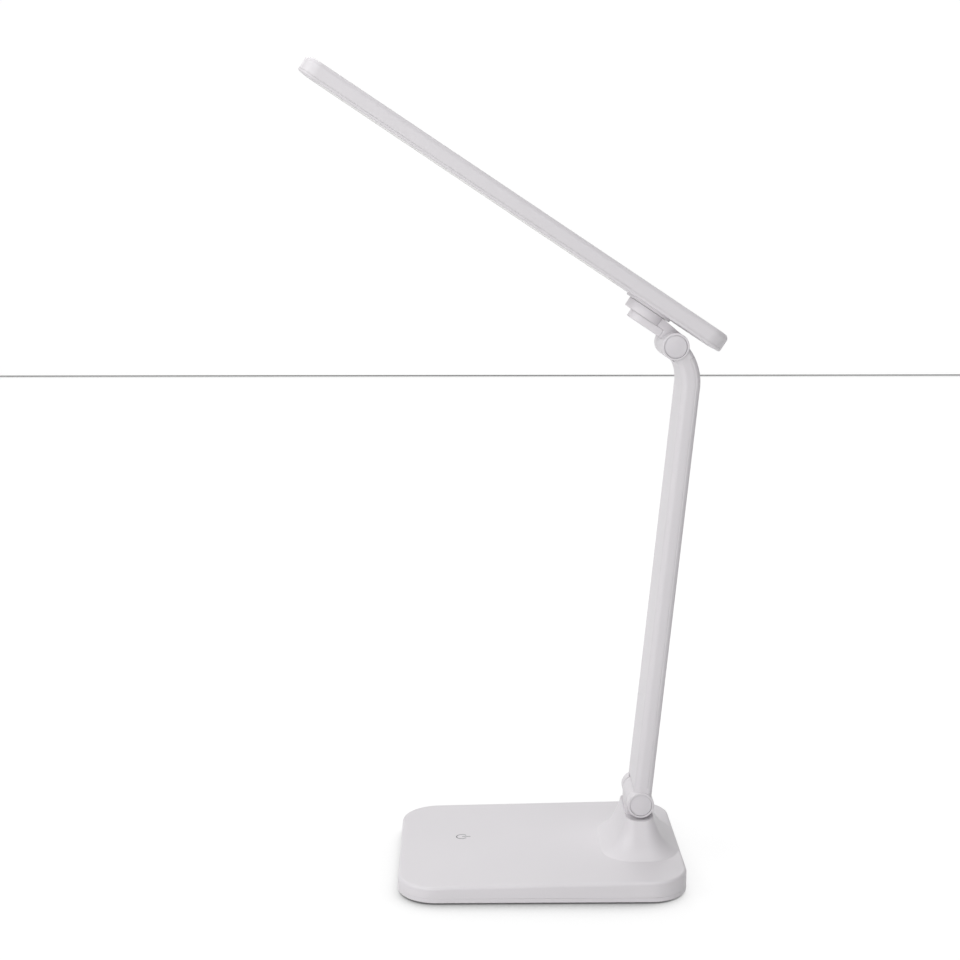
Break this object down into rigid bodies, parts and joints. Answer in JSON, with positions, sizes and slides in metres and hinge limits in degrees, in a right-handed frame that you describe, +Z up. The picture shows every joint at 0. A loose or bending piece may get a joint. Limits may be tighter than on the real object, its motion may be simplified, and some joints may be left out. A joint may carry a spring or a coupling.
{
  "type": "folding desk lamp",
  "caption": "White folding desk lamp: wedge base with touch switch, flat arm on a friction hinge, tilting and turning slim lamp head with an edge-lit window.",
  "frame": {"origin": "middle of the base's flat underside, on the table", "axes": "+Z up, -X towards the front of the base where the touch switch is, Y across the lamp"},
  "size_m": [0.2142, 0.116, 0.423],
  "materials": {
    "white_shell": "white moulded plastic, satin",
    "white_cap": "white moulded plastic, satin",
    "pad_rubber": "matt grey foam rubber",
    "symbol_grey": "dark grey printed plastic",
    "copper": "bare copper foil",
    "wire_red": "soft red sheath",
    "wire_black": "soft black sheath",
    "ballast_steel": "zinc plated steel",
    "steel": "zinc plated steel",
    "washer_plastic": "natural acetal",
    "cell_foil": "aluminium laminate",
    "board_green": "green board with components",
    "socket_steel": "nickel plated shell",
    "cable_sheath": "grey sheath",
    "milky_diffuser": "milky acrylic",
    "clear_acrylic": "clear acrylic",
    "reflector_white": "white film",
    "diode_yellow": "yellow phosphor"
  },
  "bodies": {
    "base": {"non_slip_pad": "pad_rubber", "base_bottom_plate": "white_shell", "base_screws": "steel", "base_top_shell": "white_shell", "power_mark": "symbol_grey", "touch_electrode": "copper", "touch_wire": "wire_red", "ballast_plate": "ballast_steel", "ballast_screws": "steel", "battery_cell": "cell_foil", "battery_lead": "wire_black", "control_board": "board_green", "power_inlet": "socket_steel", "base_cable": "cable_sheath"},
    "arm": {"arm_front_shell": "white_shell", "arm_rear_cover": "white_shell", "arm_core": "ballast_steel", "arm_ribbon": "cable_sheath", "arm_screws": "steel", "lower_hinge_bolt": "steel", "lower_hinge_nut": "steel", "lower_friction_washers": "washer_plastic", "lower_hinge_caps": "white_cap", "upper_hinge_bolt": "steel", "upper_hinge_nut": "steel", "upper_friction_washers": "washer_plastic", "upper_hinge_caps": "white_cap"},
    "neck": {"neck_upper_shell": "white_shell", "neck_lower_cover": "white_shell", "neck_screws": "steel", "neck_cable": "cable_sheath", "swivel_stud": "steel", "swivel_washer": "washer_plastic", "swivel_nut": "steel"},
    "head": {"swivel_boss": "white_shell", "boss_screws": "steel", "head_bottom_frame": "white_shell", "diffuser_panel": "milky_diffuser", "light_guide": "clear_acrylic", "reflector_sheet": "reflector_white", "led_strips": "reflector_white", "led_chips": "diode_yellow", "head_cable": "cable_sheath", "head_top_cover": "white_shell", "head_screws": "steel"}
  },
  "joints": [
    {"name": "arm_tilt", "type": "hinge", "parent": "base", "child": "arm", "pos_m": [0.0533, 0, 0.037], "axis": [0, 1, 0], "range_deg": [-70, 30]},
    {"name": "head_tilt", "type": "hinge", "parent": "arm", "child": "neck", "pos_m": [0.06702, 0, 0.2802], "axis": [0, 1, 0], "range_deg": [-117, 45]},
    {"name": "head_swivel", "type": "hinge", "parent": "neck", "child": "head", "pos_m": [0.04966, 0, 0.29165], "axis": [0.5505, 0, 0.8348], "range_deg": [-90, 90]}
  ]
}
